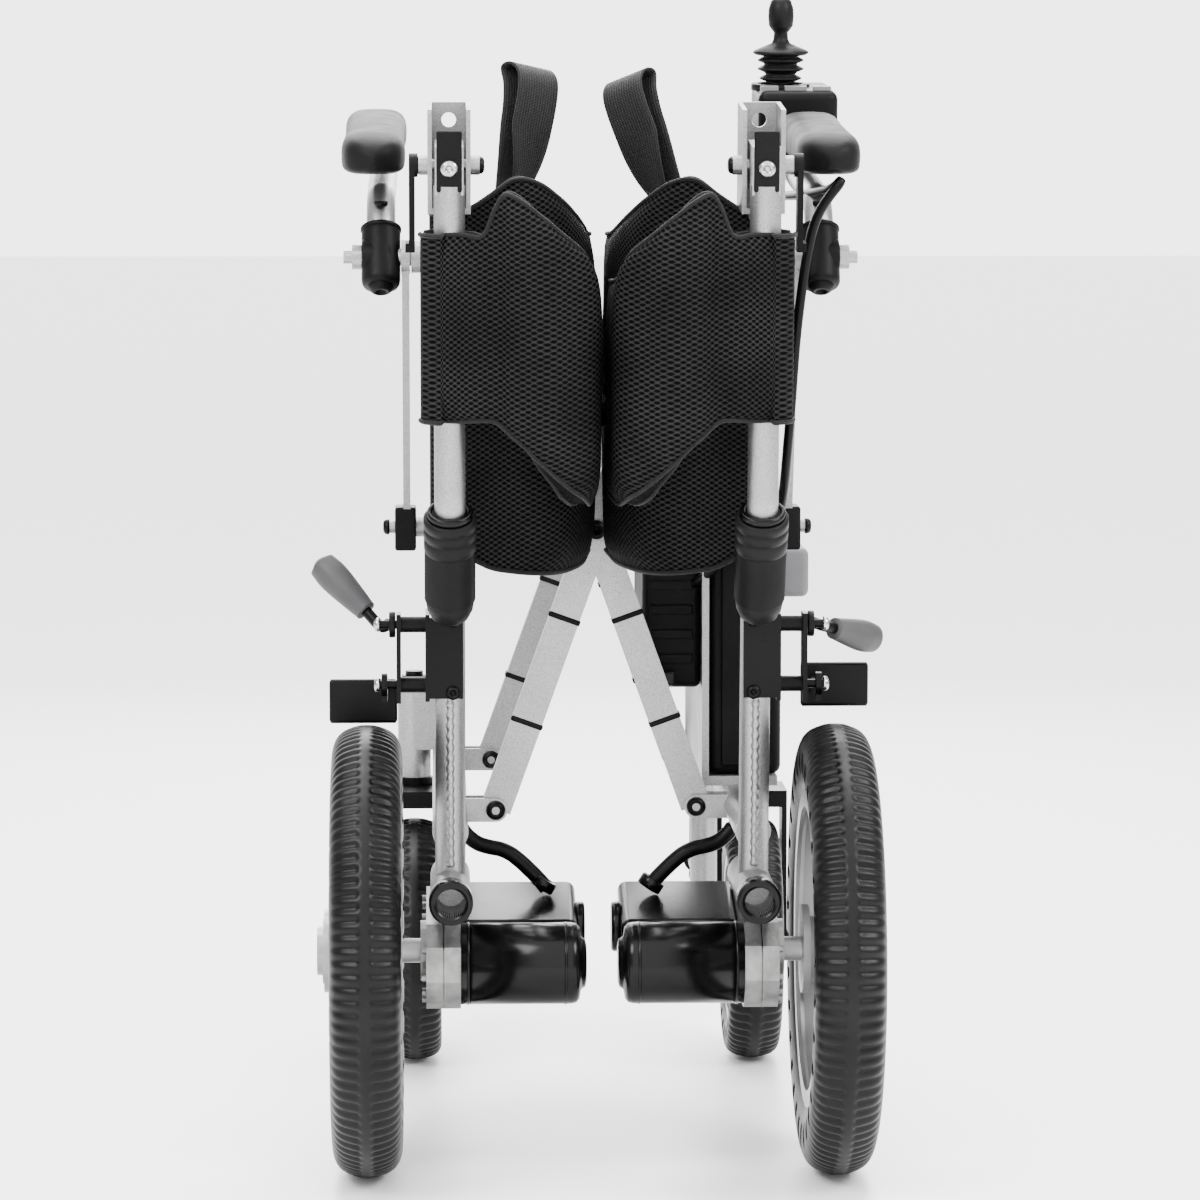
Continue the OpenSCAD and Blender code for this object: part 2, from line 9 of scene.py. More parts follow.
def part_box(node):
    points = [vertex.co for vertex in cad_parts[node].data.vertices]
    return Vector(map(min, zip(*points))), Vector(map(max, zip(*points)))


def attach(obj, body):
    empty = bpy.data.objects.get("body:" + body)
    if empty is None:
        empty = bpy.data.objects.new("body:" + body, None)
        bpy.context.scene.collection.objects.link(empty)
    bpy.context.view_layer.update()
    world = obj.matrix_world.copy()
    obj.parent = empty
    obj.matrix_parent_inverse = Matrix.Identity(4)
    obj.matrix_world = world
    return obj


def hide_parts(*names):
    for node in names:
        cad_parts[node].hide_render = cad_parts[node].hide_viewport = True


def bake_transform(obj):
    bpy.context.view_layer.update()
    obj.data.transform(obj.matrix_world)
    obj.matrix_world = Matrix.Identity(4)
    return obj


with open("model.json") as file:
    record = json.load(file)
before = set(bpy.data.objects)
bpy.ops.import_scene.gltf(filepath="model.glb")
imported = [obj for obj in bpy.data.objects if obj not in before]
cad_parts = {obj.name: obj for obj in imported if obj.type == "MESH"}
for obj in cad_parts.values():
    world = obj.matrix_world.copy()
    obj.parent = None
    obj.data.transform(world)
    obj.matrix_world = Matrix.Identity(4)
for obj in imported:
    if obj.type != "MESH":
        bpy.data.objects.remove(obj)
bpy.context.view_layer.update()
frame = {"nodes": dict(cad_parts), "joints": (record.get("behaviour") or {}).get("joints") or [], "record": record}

MM = 0.001
nodes = frame["nodes"]
record = frame["record"]
joints = {j["name"]: j for j in frame["joints"]}
mounts = {m["name"]: m for m in record["mounts"]}

# Driving places, read from the frame
AXLE_Y = sum(p.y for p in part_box("right_rear_tyre")) / 2
SIDE = mounts["right_anti_tip_socket"]["pos_m"][0]
LEAN = math.atan2(-joints["right_lower_back_fold"]["axis"][1], joints["right_lower_back_fold"]["axis"][2])
CANE_FOOT = Vector((0, AXLE_Y - 4 * MM, 202 * MM))
CANE_R = 10.5 * MM
ARM_PIVOT = Vector(joints["right_arm_flip"]["pos_m"])
TILT = math.atan2(joints["stick_side"]["axis"][2], joints["stick_side"]["axis"][1])
STICK = Vector(joints["stick_side"]["pos_m"])
UPPER_Y = -64
SIDES = (("left", -1), ("right", 1))


# ---- places ----
def at(s, x, y, z):
    """Millimetres outboard of a side frame, ahead of the rear axle and up."""
    return Vector((s * (SIDE + x * MM), AXLE_Y + y * MM, z * MM))


def on_cane(s, x, y, z):
    """Millimetres in the leaning frame of a back cane."""
    turn = Matrix.Rotation(LEAN, 3, "X")
    return Vector((s * SIDE, 0, 0)) + CANE_FOOT + turn @ Vector((s * x * MM, y * MM, z * MM))


def on_arm(s, x, y, z):
    """Millimetres from the armrest pivot, in the tilted frame of the pad."""
    turn = Matrix.Rotation(TILT, 3, "X")
    root = Vector((s * (SIDE + 47 * MM), ARM_PIVOT.y, ARM_PIVOT.z))
    return root + turn @ Vector((s * x * MM, y * MM, z * MM))


# ---- material helpers ----
def new_material(name):
    mat = bpy.data.materials.new(name)
    mat.use_nodes = True
    tree = mat.node_tree
    return mat, tree, tree.nodes["Principled BSDF"]


def add(tree, kind, **values):
    node = tree.nodes.new(kind)
    for key, value in values.items():
        if key in node.inputs:
            node.inputs[key].default_value = value
        else:
            setattr(node, key, value)
    return node


def coords(tree, uv=False, scale=(1, 1, 1), turn=0.0):
    source = add(tree, "ShaderNodeTexCoord")
    mapping = add(tree, "ShaderNodeMapping", Scale=scale, Rotation=(0, 0, turn))
    tree.links.new(source.outputs["UV" if uv else "Object"], mapping.inputs["Vector"])
    return mapping.outputs["Vector"]


def ramp(tree, value, stops):
    node = add(tree, "ShaderNodeValToRGB")
    ends = node.color_ramp.elements
    while len(ends) < len(stops):
        ends.new(0.5)
    for end, (place, colour) in zip(ends, stops):
        end.position = place
        end.color = (*colour, 1) if hasattr(colour, "__len__") else (colour, colour, colour, 1)
    tree.links.new(value, node.inputs["Fac"])
    return node.outputs["Color"]


def bump(tree, shader, height, distance, strength=1.0, under=None):
    node = add(tree, "ShaderNodeBump", Distance=distance, Strength=strength)
    tree.links.new(height, node.inputs["Height"])
    if under:
        tree.links.new(under, node.inputs["Normal"])
    tree.links.new(node.outputs["Normal"], shader.inputs["Normal"])
    return node.outputs["Normal"]


def noise(tree, where, scale, detail=3.0, rough=0.5):
    node = add(tree, "ShaderNodeTexNoise", Scale=scale, Detail=detail, Roughness=rough)
    tree.links.new(where, node.inputs["Vector"])
    return node.outputs["Fac"]


def paint(name, dark, light, metallic, rough, grain, depth, shine=0.5, patch=14.0):
    """A sprayed or moulded finish: fine grain in the bump, slow patches in colour and gloss."""
    mat, tree, shader = new_material(name)
    where = coords(tree)
    slow = noise(tree, where, patch, 4)
    tree.links.new(ramp(tree, slow, [(0.3, dark), (0.7, light)]), shader.inputs["Base Color"])
    tree.links.new(ramp(tree, noise(tree, where, patch * 3, 5), [(0.2, rough * 0.85), (0.8, rough * 1.2)]),
                   shader.inputs["Roughness"])
    bump(tree, shader, noise(tree, where, grain, 2), depth)
    shader.inputs["Metallic"].default_value = metallic
    shader.inputs["Specular IOR Level"].default_value = shine
    return mat


def silver_paint():
    """Metallic powder coat: bright flakes over a satin base."""
    mat, tree, shader = new_material("silver_paint")
    where = coords(tree)
    flakes = add(tree, "ShaderNodeTexVoronoi", Scale=2400.0)
    tree.links.new(where, flakes.inputs["Vector"])
    tree.links.new(ramp(tree, flakes.outputs["Color"],
                        [(0.1, (0.18, 0.18, 0.183)), (0.8, (0.36, 0.36, 0.365))]),
                   shader.inputs["Base Color"])
    tree.links.new(ramp(tree, noise(tree, where, 30, 4), [(0.3, 0.3), (0.7, 0.42)]),
                   shader.inputs["Roughness"])
    bump(tree, shader, flakes.outputs["Distance"], 0.00012, 0.6)
    shader.inputs["Metallic"].default_value = 0.9
    return mat


def mesh_fabric(name, pitch=0.0032, light=0.02):
    """Knitted spacer mesh: rows of open cells, soft sheen on the knit between them."""
    mat, tree, shader = new_material(name)
    where = coords(tree, True, (0.8 / pitch, 1.15 / pitch, 1), math.radians(45))
    cells = add(tree, "ShaderNodeTexVoronoi", Scale=1.0, Randomness=0.06)
    cells.voronoi_dimensions = "2D"
    tree.links.new(where, cells.inputs["Vector"])
    knit = ramp(tree, cells.outputs["Distance"], [(0.26, 0.0), (0.44, 1.0)])
    tint = ramp(tree, cells.outputs["Distance"], [(0.24, 0.0003), (0.42, light * 0.6), (0.62, light)])
    worn = ramp(tree, noise(tree, coords(tree), 22, 4), [(0.3, 0.55), (0.7, 1.0)])
    mix = add(tree, "ShaderNodeMix", data_type="RGBA", blend_type="MULTIPLY")
    mix.inputs["Factor"].default_value = 1.0
    tree.links.new(tint, mix.inputs["A"])
    tree.links.new(worn, mix.inputs["B"])
    tree.links.new(mix.outputs["Result"], shader.inputs["Base Color"])
    yarn = noise(tree, coords(tree), 3500, 2)
    low = add(tree, "ShaderNodeBump", Distance=0.0002, Strength=0.4)
    tree.links.new(yarn, low.inputs["Height"])
    bump(tree, shader, knit, 0.0011, 1.0, low.outputs["Normal"])
    shader.inputs["Roughness"].default_value = 0.72
    shader.inputs["Specular IOR Level"].default_value = 0.03
    return mat


def ribbed_cloth(name, pitch, dark, light):
    """Woven tape: ribs along its length and a fine cross weave."""
    mat, tree, shader = new_material(name)
    where = coords(tree, True)
    ribs = add(tree, "ShaderNodeTexWave", Scale=1 / (pitch * 6.283) * 2, Distortion=0.0)
    tree.links.new(where, ribs.inputs["Vector"])
    cross = add(tree, "ShaderNodeTexWave", Scale=1 / (pitch * 6.283) * 4, Distortion=0.6,
                bands_direction="Y")
    tree.links.new(where, cross.inputs["Vector"])
    both = add(tree, "ShaderNodeMath", operation="MULTIPLY")
    tree.links.new(ribs.outputs["Fac"], both.inputs[0])
    tree.links.new(cross.outputs["Fac"], both.inputs[1])
    tree.links.new(ramp(tree, both.outputs["Value"], [(0.1, dark), (0.8, light)]),
                   shader.inputs["Base Color"])
    bump(tree, shader, both.outputs["Value"], 0.0005)
    shader.inputs["Roughness"].default_value = 0.6
    shader.inputs["Specular IOR Level"].default_value = 0.15
    shader.inputs["Sheen Weight"].default_value = 0.04
    return mat


# Finishes by name; paint takes dark and light colour, metal, roughness, grain size and depth
MATERIALS = {
    "silver": silver_paint(),
    "cast": paint("cast_alloy", (0.13, 0.13, 0.128), (0.3, 0.3, 0.295), 0.9, 0.4, 500, 0.00025, patch=60),
    "alloy": paint("rim_alloy", (0.22, 0.22, 0.225), (0.36, 0.36, 0.365), 0.9, 0.34, 1400, 0.00004),
    "steel": paint("plated_steel", 0.3, (0.6, 0.6, 0.59), 1.0, 0.2, 900, 0.00003, patch=90),
    "gloss": paint("gloss_black", 0.001, 0.002, 0.0, 0.2, 260, 0.00003, shine=0.14),
    "black": paint("black_plastic", 0.002, 0.005, 0.0, 0.42, 1600, 0.00012, shine=0.07),
    "coat": paint("black_coat", 0.001, 0.003, 0.0, 0.3, 2200, 0.00006, shine=0.09),
    "rubber": paint("tyre_rubber", 0.0015, 0.005, 0.0, 0.36, 1200, 0.00008, shine=0.13,
                    patch=26),
    "grip": paint("soft_grip", 0.003, 0.007, 0.0, 0.42, 1500, 0.00008, shine=0.09),
    "lever": paint("lever_grip", (0.03, 0.03, 0.031), (0.06, 0.06, 0.062), 0.0, 0.5, 1500, 0.0001,
                   shine=0.25),
    "pad": paint("pad_skin", 0.002, 0.005, 0.0, 0.5, 1000, 0.0002, shine=0.08),
    "jacket": paint("cable_jacket", 0.001, 0.003, 0.0, 0.35, 800, 0.00004, shine=0.1),
    "key": paint("key_grey", (0.1, 0.1, 0.105), (0.15, 0.15, 0.155), 0.0, 0.45, 1500, 0.00005, shine=0.3),
    "mesh": mesh_fabric("spacer_mesh"),
    "mesh_fine": mesh_fabric("fine_mesh", 0.0024, 0.014),
    "piping": ribbed_cloth("edge_binding", 0.0012, 0.002, 0.012),
    "web": ribbed_cloth("pull_webbing", 0.0022, 0.003, 0.03),
}


# ---- mesh helpers ----
def piece(name, verts, faces, material, body, uv=None):
    """Makes a mesh piece with its material and body."""
    data = bpy.data.meshes.new(name)
    data.from_pydata([tuple(v) for v in verts], [], faces)
    data.materials.append(MATERIALS[material])
    if uv is not None:
        layer = data.uv_layers.new(name="UVMap")
        for loop in data.loops:
            layer.data[loop.index].uv = uv[loop.vertex_index]
    data.validate()
    obj = bpy.data.objects.new(name, data)
    bpy.context.scene.collection.objects.link(obj)
    data.shade_smooth()
    if body:
        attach(obj, body)
    return obj


def fix_normals(obj):
    """Turns all faces outward."""
    bm = bmesh.new()
    bm.from_mesh(obj.data)
    bmesh.ops.recalc_face_normals(bm, faces=bm.faces)
    bm.to_mesh(obj.data)
    bm.free()
    return obj


def apply(obj):
    """Turns an object's modifiers into its mesh."""
    bpy.context.view_layer.update()
    shape = obj.evaluated_get(bpy.context.evaluated_depsgraph_get())
    data = bpy.data.meshes.new_from_object(shape)
    obj.modifiers.clear()
    obj.data = data
    return obj


def modify(obj, kind, **values):
    """Adds a modifier and sets its values."""
    change = obj.modifiers.new(kind.lower(), kind)
    for key, value in values.items():
        setattr(change, key, value)
    return change


def grid_faces(rows, cols, wrap_rows=False, wrap_cols=False):
    """Quads between rows of points, joined round where asked."""
    out = []
    for i in range(rows if wrap_rows else rows - 1):
        for k in range(cols if wrap_cols else cols - 1):
            a, b = i * cols + k, i * cols + (k + 1) % cols
            c, d = ((i + 1) % rows) * cols + (k + 1) % cols, ((i + 1) % rows) * cols + k
            out.append((a, b, c, d))
    return out


def basis(axis):
    """An axis and two directions square to it."""
    axis = Vector(axis).normalized()
    helper = Vector((0, 0, 1)) if abs(axis.z) < 0.9 else Vector((0, 1, 0))
    u = axis.cross(helper).normalized()
    return axis, u, axis.cross(u)


def revolve(name, profile, centre, axis, material, body, segs=64):
    """Turns (radius, height) points in millimetres about an axis through centre."""
    axis, u, v = basis(axis)
    verts, uv = [], []
    for r, h in profile:
        for k in range(segs):
            a = 2 * math.pi * k / segs
            verts.append(centre + axis * h * MM + (u * math.cos(a) + v * math.sin(a)) * max(r, 0.01) * MM)
            uv.append((r * MM * a, h * MM))
    faces = grid_faces(len(profile), segs, wrap_cols=True)
    faces.append(tuple(range(segs)))
    faces.append(tuple((len(profile) - 1) * segs + k for k in reversed(range(segs))))
    return fix_normals(piece(name, verts, faces, material, body, uv))


def rounded(r, h0, h1, edge, inner=0.0, steps=4):
    """Profile of a disc or drum from h0 to h1 with rounded rims."""
    low = [(r - edge + edge * math.sin(a), h0 + edge - edge * math.cos(a))
           for a in (math.pi / 2 * i / steps for i in range(steps + 1))]
    high = [(r - edge + edge * math.cos(a), h1 - edge + edge * math.sin(a))
            for a in (math.pi / 2 * i / steps for i in range(steps + 1))]
    return [(inner, h0)] + low + high + [(inner, h1)]


def smooth_path(points, steps=8):
    """Catmull-Rom curve through the points."""
    p = [Vector(q) for q in points]
    p = [2 * p[0] - p[1]] + p + [2 * p[-1] - p[-2]]
    out = []
    for i in range(1, len(p) - 2):
        for k in range(steps):
            t = k / steps
            out.append(0.5 * (2 * p[i] + (p[i + 1] - p[i - 1]) * t
                              + (2 * p[i - 1] - 5 * p[i] + 4 * p[i + 1] - p[i + 2]) * t * t
                              + (3 * p[i] - p[i - 1] - 3 * p[i + 1] + p[i + 2]) * t ** 3))
    return out + [p[-2]]


def tube(name, points, radius, material, body, sides=20, steps=8):
    """Round bar or cable along a smooth path; radius in millimetres, one value or a function of 0 to 1."""
    path = smooth_path(points, steps)
    verts, uv = [], []
    u = None
    run = 0.0
    for i, p in enumerate(path):
        t = (path[min(i + 1, len(path) - 1)] - path[max(i - 1, 0)]).normalized()
        u = basis(t)[1] if u is None else (u - t * u.dot(t)).normalized()
        v = t.cross(u)
        run += (p - path[i - 1]).length if i else 0
        r = (radius(i / (len(path) - 1)) if callable(radius) else radius) * MM
        for k in range(sides):
            a = 2 * math.pi * k / sides
            verts.append(p + (u * math.cos(a) + v * math.sin(a)) * r)
            uv.append((a * r, run))
    faces = grid_faces(len(path), sides, wrap_cols=True)
    faces.append(tuple(range(sides)))
    faces.append(tuple((len(path) - 1) * sides + k for k in reversed(range(sides))))
    return fix_normals(piece(name, verts, faces, material, body, uv))


def block(name, low, high, edge, material, body, place, segs=3):
    """Box with rounded edges; corners in millimetres, put in place by a function."""
    corners = [(x, y, z) for x in (low[0], high[0]) for y in (low[1], high[1]) for z in (low[2], high[2])]
    faces = [(0, 1, 3, 2), (4, 6, 7, 5), (0, 4, 5, 1), (2, 3, 7, 6), (0, 2, 6, 4), (1, 5, 7, 3)]
    obj = fix_normals(piece(name, [place(*c) for c in corners], faces, material, None))
    modify(obj, "BEVEL", width=edge * MM, segments=segs, limit_method="NONE")
    modify(obj, "WEIGHTED_NORMAL")
    apply(obj)
    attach(obj, body)
    return obj


def bolt(name, centre, axis, radius, body, material="steel"):
    """Button-head screw with a socket recess."""
    profile = [(0, -1.5), (radius, -1.5), (radius, 0), (radius * 0.93, radius * 0.3),
               (radius * 0.7, radius * 0.5),
               (radius * 0.45, radius * 0.55), (radius * 0.4, radius * 0.1), (0, radius * 0.1)]
    return revolve(name, profile, centre, axis, material, body, 24)


def ring(name, centre, axis, r_in, r_out, width, body, material="black", segs=40):
    """Collar with a bore, centred on its axis."""
    w = width / 2
    profile = [(r_in, -w), (r_out - 0.6, -w), (r_out, -w + 0.6), (r_out, w - 0.6), (r_out - 0.6, w),
               (r_in, w)]
    axis, u, v = basis(axis)
    turns = [2 * math.pi * k / segs for k in range(segs)]
    verts = [centre + axis * h * MM + (u * math.cos(a) + v * math.sin(a)) * r * MM for r,
             h in profile for a in turns]
    faces = grid_faces(len(profile), segs, True, True)
    return fix_normals(piece(name, verts, faces, material, body))


# ---- tyres ----
def tyre(name, node, body, outline, bores, bore_r, bore_size, pitch_count, centre_strip):
    """Solid tyre: cross grooves over the tread, a smooth middle strip, and a ring of bores in each wall."""
    low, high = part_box(node)
    centre = (low + high) / 2
    outer = (high.z - low.z) / 2 / MM
    segs = pitch_count * 6
    pts = smooth_path([Vector((outer - d, x, 0)) for d, x in outline], 5)
    verts, uv = [], []
    run = 0.0
    for i, p in enumerate(pts):
        run += (p - pts[i - 1]).length * MM if i else 0
        for k in range(segs):
            a = 2 * math.pi * k / segs
            r, x = p.x, p.y
            depth = outer - r
            wave = 0.5 - 0.5 * math.cos(2 * math.pi * k / 6)
            on_tread = max(0.0, min(1.0, (abs(x) - centre_strip) / 2)) * max(0.0, 1 - depth / 24)
            r -= 2.0 * (1 - wave) ** 1.5 * on_tread
            near = abs((a * bores / (2 * math.pi)) % 1 - 0.5) * 2 * math.pi * r / bores
            span = (near / bore_size[0]) ** 2 + ((r - (outer - bore_r)) / bore_size[1]) ** 2
            if abs(x) > 12 and span < 1.4:
                x -= math.copysign(min(9.0, 9.0 * max(0, 1.4 - span) * 2.2), x)
            verts.append(centre + Vector((x, r * math.cos(a), r * math.sin(a))) * MM)
            uv.append((a * r * MM, run))
    faces = grid_faces(len(pts), segs, True, True)
    obj = fix_normals(piece(name, verts, faces, "rubber", body, uv))
    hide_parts(node)


REAR_OUTLINE = [(46, -20), (40, -22.5), (32, -24.2), (24, -24.5), (16, -23.8), (9, -21), (4.5, -16.5),
                (1.6, -10),
                (0.2, -4), (0.2, 4), (1.6, 10), (4.5, 16.5), (9, 21), (16, 23.8), (24, 24.5), (32, 24.2),
                (40, 22.5),
                (46, 20), (46, 7), (46, -7)]
CASTER_OUTLINE = [(30, -18), (24, -20), (16, -21), (9, -20.3), (4, -16.5), (1.2, -9), (0.1, 0), (1.2, 9),
                  (4, 16.5),
                  (9, 20.3), (16, 21), (24, 20), (30, 18), (30, 6), (30, -6)]
for side, s in SIDES:
    tyre(side + "_rear_tyre_tread", side + "_rear_tyre", side + "_wheel", REAR_OUTLINE, 32, 27, (4.2, 7.0),
         110, 3.5)
    tyre(side + "_caster_tread", side + "_caster_tyre", side + "_caster", CASTER_OUTLINE, 26, 18, (3.4, 5.0),
         66, 4)


# ---- upholstery ----
def cover(name, s, spine, replaced):
    """Padded cover. Each spine row is x, y, half thickness, bottom and top, in the leaning cane frame."""
    rows = smooth_path([Vector(r[:3]) for r in spine], 6)
    ends = smooth_path([Vector((r[3], r[4], 0)) for r in spine], 6)
    levels, n = 26, len(rows)
    run, arc = 0.0, []
    for i, p in enumerate(rows):
        run += (Vector(p[:2]) - Vector(rows[i - 1][:2])).length if i else 0
        arc.append(run)
    loops = []
    for face in (1, -1):
        order = range(n) if face > 0 else range(n - 2, 0, -1)
        loops += [(i, face) for i in order]
    verts, uv = [], []
    for j in range(levels + 1):
        v = j / levels
        swell = (1 - (2 * v - 1) ** 6) ** 0.5 if 0 < j < levels else 0.12
        for i, face in loops:
            p, q = rows[i], ends[i]
            ahead, behind = rows[min(i + 1, n - 1)], rows[max(i - 1, 0)]
            d = Vector((ahead.x - behind.x, ahead.y - behind.y, 0)).normalized()
            out = Vector((d.y, -d.x, 0)) * face
            thick = p.z * (0.35 + 0.65 * swell) if i > 10 else p.z
            quilt = 0.5 * math.sin(v * 9 + i * 0.35) * min(1, i / 14)
            c = Vector((p.x, p.y, 0)) + out * (thick + quilt * swell)
            z = q.x + (q.y - q.x) * v
            verts.append(on_cane(s, c.x, c.y, z))
            uv.append((arc[i] * MM * face, z * MM))
    cols = len(loops)
    faces = grid_faces(levels + 1, cols, wrap_cols=True)
    pair = {key: k for k, key in enumerate(loops)}
    for level in (0, levels * cols):
        for i in range(1, n - 2):
            faces.append((level + pair[(i, 1)], level + pair[(i + 1, 1)], level + pair[(i + 1, -1)],
                          level + pair[(i, -1)]))
        faces.append((level + pair[(0, 1)], level + pair[(1, 1)], level + pair[(1, -1)]))
        faces.append((level + pair[(n - 2, 1)], level + pair[(n - 1, 1)], level + pair[(n - 2, -1)]))
    obj = piece(name, verts, faces, "mesh", None, uv)
    fix_normals(obj)
    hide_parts(*replaced)
    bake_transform(obj)
    for level, edge in ((0, "hem"), (levels, "top")):
        for face, label in ((1, "back"), (-1, "front")):
            line = [verts[level * cols + pair[(i, face)]] for i in range(1, n - 1, 2)]
            piping = tube(f"{name}_{edge}_{label}_binding", line, 1.7, "piping", None, 10, 2)
            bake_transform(piping)
    return obj


UPPER_SPINE = [(19, -64, 3, 341, 466), (12, -66, 15, 341, 466), (2, -66, 18.5, 341, 466),
               (-12, -70, 14, 341, 466),
               (-24, -76, 8, 342, 466), (-31, -79, 4.5, 341, 484), (-38, -80, 9, 336, 494),
               (-50, -81, 15, 325, 488),
               (-64, -78, 18, 308, 474), (-80, -66, 20, 290, 456), (-87, -44, 16, 280, 440),
               (-90, -14, 13, 274, 430), (-94, 14, 9, 272, 424), (-98, 42, 5, 272, 420)]
LOWER_SPINE = [(13.5, 0, 2.5, 240, 472), (8, 0, 10, 240, 472), (0, 0, 13.2, 240, 472),
               (-12, -2, 9, 236, 474),
               (-28, -3, 5, 228, 484), (-44, -2, 6, 225, 495), (-58, 4, 11, 223, 492),
               (-70, 18, 15, 221, 480),
               (-80, 44, 16, 219, 466), (-87, 74, 15, 217, 454), (-92, 104, 11, 216, 446),
               (-98, 130, 4.5, 216, 442)]
for side, s in SIDES:
    cover(side + "_upper_cover", s, UPPER_SPINE,
          (side + "_upper_sleeve", side + "_upper_back"))
    cover(side + "_lower_cover", s, LOWER_SPINE,
          (side + "_lower_sleeve", side + "_lower_back"))


def seat_sling():
    """Padded sling that hangs in a U between the seat rails."""
    right, left = (Vector(joints[n]["pos_m"]) for n in ("right_seat_hang", "left_seat_hang"))
    half, top = right.x - 9 * MM, right.z + 3 * MM
    y0, y1 = AXLE_Y + 12 * MM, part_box("right_seat_panel")[1].y + 40 * MM
    cross_n, along = 40, 36
    sag, curve, rear_dip = 0.122, 1.35, 0.008
    verts, uv = [], []
    for i in range(along + 1):
        y = y0 + (y1 - y0) * i / along
        rear = max(0.0, 1 - i / 6)
        for face in (1, -1):
            for k in range(cross_n + 1):
                u = -1 + 2 * k / cross_n
                drop = sag * (1 - abs(u) ** curve) + rear_dip * rear
                x = half * u
                slope = math.atan2(sag * curve * abs(u) ** (curve - 1) * math.copysign(1, u), half)
                thick = (7 if abs(u) < 0.96 else 3) * MM * face
                thick *= 0.55 if i in (0, along) else 1
                z = top - drop
                verts.append(Vector((x - math.sin(slope) * thick, y, z + math.cos(slope) * thick)))
                uv.append((u * 0.21, y))
    cols = (cross_n + 1) * 2
    fix = []
    for row in range(along + 1):
        base = row * cols
        upper = list(range(base, base + cross_n + 1))
        lower = list(range(base + cross_n + 1, base + cols))
        fix.append(upper + lower[::-1])
    faces = []
    for a, b in zip(fix, fix[1:]):
        for k in range(cols):
            faces.append((a[k], a[(k + 1) % cols], b[(k + 1) % cols], b[k]))
    for loop in (fix[0], fix[-1]):
        for k in range(cross_n):
            faces.append((loop[k], loop[k + 1], loop[cols - 2 - k], loop[cols - 1 - k]))
    obj = fix_normals(piece("seat_sling", verts, faces, "mesh_fine", None, uv))
    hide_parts("left_seat_panel", "right_seat_panel")
    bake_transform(obj)
    for rail, body in ((right, "brace_a"), (left, "brace_b")):
        run = [Vector((rail.x, y, rail.z)) for y in (y0 + 30 * MM, (y0 + y1) / 2, y1)]
        tube(body + "_seat_sleeve", run, 11.5, "mesh_fine", body, 32, 8)


seat_sling()


def webbing_loop(side, s):
    """Pull strap: a flat loop of tape stitched round the seat rail."""
    rail = Vector(joints[side + "_seat_hang"]["pos_m"])
    lean = math.radians(-22 if s > 0 else 12)
    width, middle, layer = 34, 8, 0.9
    across_n = 7
    y0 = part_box(side + "_pull_strap")[0].y
    line = [(0, 8), (-3, 30), (-5, 60), (-4, 88), (2, 108), (10, 120), (-2, 124), (-14, 118), (-19, 104),
            (-20, 80),
            (-18, 50), (-13, 26), (-6, 12), (-2, 9)]
    path = smooth_path([Vector((x, z, 0)) for x, z in line], 6)
    turn = Matrix.Rotation(lean, 3, "Y")
    verts, uv = [], []
    run = 0.0
    for i, p in enumerate(path):
        run += (p - path[i - 1]).length if i else 0
        t = (path[min(i + 1, len(path) - 1)] - path[max(i - 1, 0)]).normalized()
        out = Vector((t.y, -t.x))
        twist = math.radians(58) * min(1, max(0, p.y - 12) / 70)  # turns to face the back as it rises
        for face in (layer, -layer):
            for k in range(across_n):
                x, z = p.x + out.x * face + middle, p.y + out.y * face
                y = width * k / (across_n - 1) - width / 2
                x, y = x * math.cos(twist) - y * math.sin(twist), x * math.sin(twist) + y * math.cos(twist)
                verts.append(rail + turn @ Vector((s * (x - middle) * MM, y0 + (y + width / 2) * MM - rail.y,
                                                   z * MM)))
                uv.append((width * MM * k / (across_n - 1), run * MM))
    loops = []
    for i in range(len(path)):
        base = i * 14
        loops.append([base + k for k in range(7)] + [base + 13 - k for k in range(7)])
    faces = [(a[k], a[(k + 1) % 14], b[(k + 1) % 14], b[k]) for a,
             b in zip(loops, loops[1:]) for k in range(14)]
    for loop in (loops[0], loops[-1]):
        faces += [(loop[k], loop[k + 1], loop[12 - k], loop[13 - k]) for k in range(6)]
    body = "brace_a" if s > 0 else "brace_b"
    obj = fix_normals(piece(side + "_pull_webbing", verts, faces, "web", body, uv))
    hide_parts(side + "_pull_strap")


for side, s in SIDES:
    webbing_loop(side, s)


# ---- armrests ----
def arm_pad(side, s):
    """Moulded pad: crowned top, flat underside, ends drawn in."""
    length = 280 if s < 0 else 250
    rows, cols = 40, 28
    verts, uv = [], []
    for i in range(rows + 1):
        t = i / rows
        y = -38 + length * t
        end = min(1.0, (1 - (2 * t - 1) ** 8) ** 0.5 + 0.02)
        waist = 1 - 0.1 * math.sin(math.pi * t)
        for k in range(cols):
            a = 2 * math.pi * k / cols
            c, d = math.cos(a), math.sin(a)
            w = 23.5 * end * waist * math.copysign(abs(c) ** 0.55, c)
            up = 14.5 * (0.3 + 0.7 * end) * math.copysign(abs(d) ** (0.8 if d > 0 else 0.35), d)
            z = 71.5 + up * (1.06 if d > 0 else 0.92) - (3 * (1 - end))
            verts.append(on_arm(s, 5 + w, y, z))
            uv.append((a * 0.02, y * MM))
    faces = grid_faces(rows + 1, cols, wrap_cols=True)
    faces += [tuple(range(cols)), tuple(rows * cols + k for k in reversed(range(cols)))]
    obj = fix_normals(piece(side + "_arm_cushion", verts, faces, "pad", None, uv))
    modify(obj, "SUBSURF", levels=1, render_levels=1)
    apply(obj)
    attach(obj, side + "_arm")
    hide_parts(side + "_arm_pad")
    for k, y in enumerate((10, length - 90)):
        bolt(f"{side}_arm_cushion_screw_{k}", on_arm(s, 0, y, 36.5), (0, 0, -1), 5, side + "_arm", "coat")


